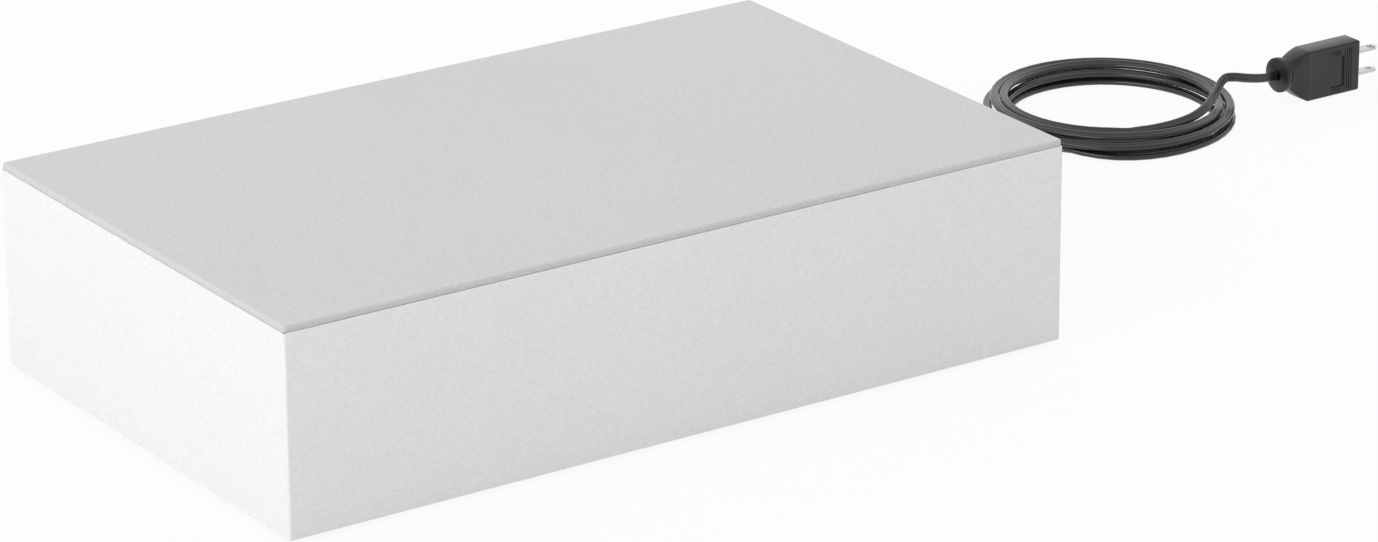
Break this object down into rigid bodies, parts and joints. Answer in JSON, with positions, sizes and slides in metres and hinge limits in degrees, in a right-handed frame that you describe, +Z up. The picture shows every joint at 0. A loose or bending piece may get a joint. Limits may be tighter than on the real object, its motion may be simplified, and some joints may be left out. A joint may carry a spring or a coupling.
{
  "type": "light box",
  "caption": "Low rectangular desk light box with a white steel case, a flat opal lift-off panel over tubular lamps, a rocker switch and a coiled flat mains cord with a plug.",
  "frame": {"origin": "on the floor under the middle of the case", "axes": "+X along the case's length towards the cord, +Y across its depth away from the picture's camera, +Z up out of the lit panel"},
  "size_m": [0.8257, 0.3198, 0.107],
  "materials": {
    "case_paint": "fine-textured white powder coat",
    "base_paint": "plain white powder coat",
    "zinc_steel": "zinc-plated steel",
    "foot_rubber": "dark grey moulded rubber",
    "seal_foam": "grey foam tape",
    "reflector_paint": "gloss white enamel",
    "holder_white": "moulded white plastic",
    "rotor_white": "moulded off-white plastic",
    "socket_ivory": "moulded ivory plastic",
    "starter_base": "grey moulded plastic",
    "can_aluminium": "drawn aluminium",
    "core_steel": "varnished steel laminations",
    "winding_tape": "amber insulating tape over copper wire",
    "grommet_rubber": "black rubber",
    "terminal_ivory": "moulded ivory plastic",
    "brass": "plain brass",
    "wire_brown": "brown wire covering",
    "wire_white": "white wire covering",
    "switch_black": "black moulded plastic",
    "cord_black": "satin black flexible cord covering",
    "bushing_black": "black moulded strain relief",
    "plug_black": "satin black moulded plug",
    "blade_nickel": "nickel-plated brass",
    "opal_acrylic": "opal acrylic with a satin face",
    "cleat_acrylic": "white acrylic strip",
    "lamp_glass": "glass coated white inside",
    "cap_aluminium": "pressed aluminium"
  },
  "bodies": {
    "box": {"casing": "case_paint", "base_plate": "base_paint", "base_screws": "zinc_steel", "feet": "foot_rubber", "panel_seal": "seal_foam", "reflector_tray": "reflector_paint", "tray_posts": "zinc_steel", "tray_screws": "zinc_steel", "post_screws": "zinc_steel", "grommets": "grommet_rubber", "lampholders": "holder_white", "holder_screws": "zinc_steel", "starter_sockets": "socket_ivory", "socket_rivets": "zinc_steel", "starter_bases": "starter_base", "starter_cans": "can_aluminium", "choke_cores": "core_steel", "choke_coils": "winding_tape", "choke_frames": "zinc_steel", "choke_screws": "zinc_steel", "terminal_block": "terminal_ivory", "terminal_screws": "brass", "wires_supply": "wire_brown", "wires_choke": "wire_brown", "wires_lamp": "wire_brown", "wires_starter": "wire_white", "switch_housing": "switch_black", "switch_tabs": "brass", "cord_bushing": "bushing_black", "cord_lead": "cord_black", "cord_coil": "cord_black", "cord_tail": "cord_black", "plug_body": "plug_black", "plug_blades": "blade_nickel"},
    "panel": {"diffuser_panel": "opal_acrylic", "panel_cleats": "cleat_acrylic"},
    "rocker": {"switch_rocker": "switch_black"},
    "lamp_1": {"lamp_tube_1": "lamp_glass", "lamp_caps_1": "cap_aluminium", "lamp_pins_1": "brass", "lamp_rotors_1": "rotor_white"},
    "lamp_2": {"lamp_tube_2": "lamp_glass", "lamp_caps_2": "cap_aluminium", "lamp_pins_2": "brass", "lamp_rotors_2": "rotor_white"}
  },
  "joints": [
    {"name": "panel_lift", "type": "slide", "parent": "box", "child": "panel", "axis": [0, 0, 1], "range_m": [0, 0.08]},
    {"name": "rocker_tilt", "type": "hinge", "parent": "box", "child": "rocker", "pos_m": [0.2196, 0.075, 0.024], "axis": [0, -1, 0], "range_deg": [0, 20]},
    {"name": "lamp_1_twist", "type": "hinge", "parent": "box", "child": "lamp_1", "pos_m": [0, -0.065, 0.0673], "axis": [1, 0, 0], "range_deg": [0, 90]},
    {"name": "lamp_2_twist", "type": "hinge", "parent": "box", "child": "lamp_2", "pos_m": [0, 0.065, 0.0673], "axis": [1, 0, 0], "range_deg": [0, 90]}
  ]
}
